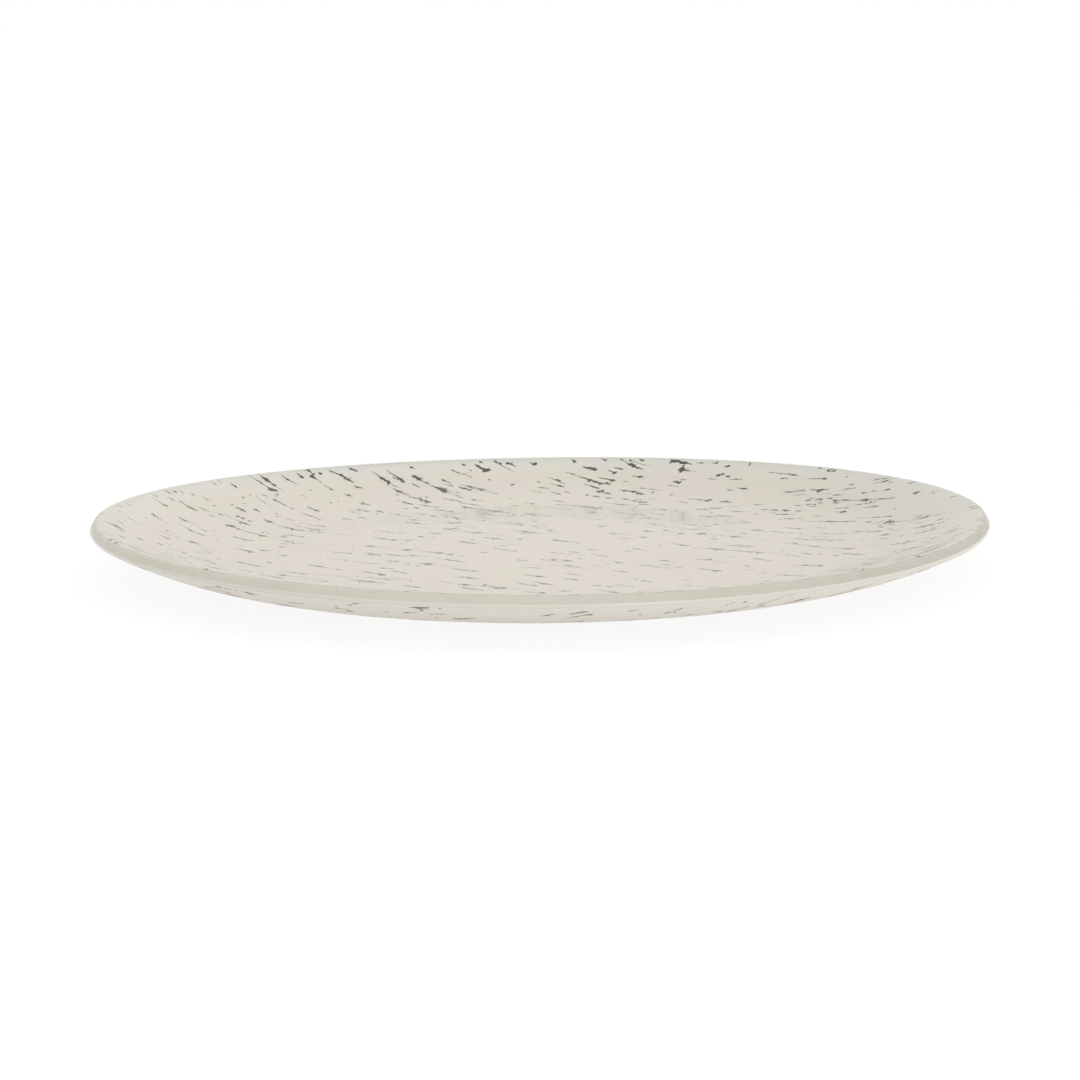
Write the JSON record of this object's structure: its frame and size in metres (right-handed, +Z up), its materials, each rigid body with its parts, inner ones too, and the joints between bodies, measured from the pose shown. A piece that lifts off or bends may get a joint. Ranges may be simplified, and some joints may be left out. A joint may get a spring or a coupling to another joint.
{
  "type": "round glass platter",
  "caption": "Shallow round serving platter of slumped clear glass with a flat floor, a curved rim and a reverse-laid ivory coat sown with dark flecks.",
  "frame": {"origin": "middle of the flat base, on the table that the platter stands on", "axes": "+Z up along the platter's axis of rotation; the flecks run 35 degrees clockwise of +X, seen from above"},
  "size_m": [0.33, 0.33, 0.0202],
  "materials": {
    "clear_glass": "clear float glass with a faint green edge, ground flat and fire polished",
    "ivory_enamel": "satin ivory coat with a faint blush, seen through the glass",
    "dark_enamel": "olive-black flecks, paler where the coat veils them from below"
  },
  "bodies": {
    "root": {"glass_dish": "clear_glass", "base_coat": "ivory_enamel", "wall_coat": "ivory_enamel", "dark_flecks": "dark_enamel"}
  },
  "joints": []
}
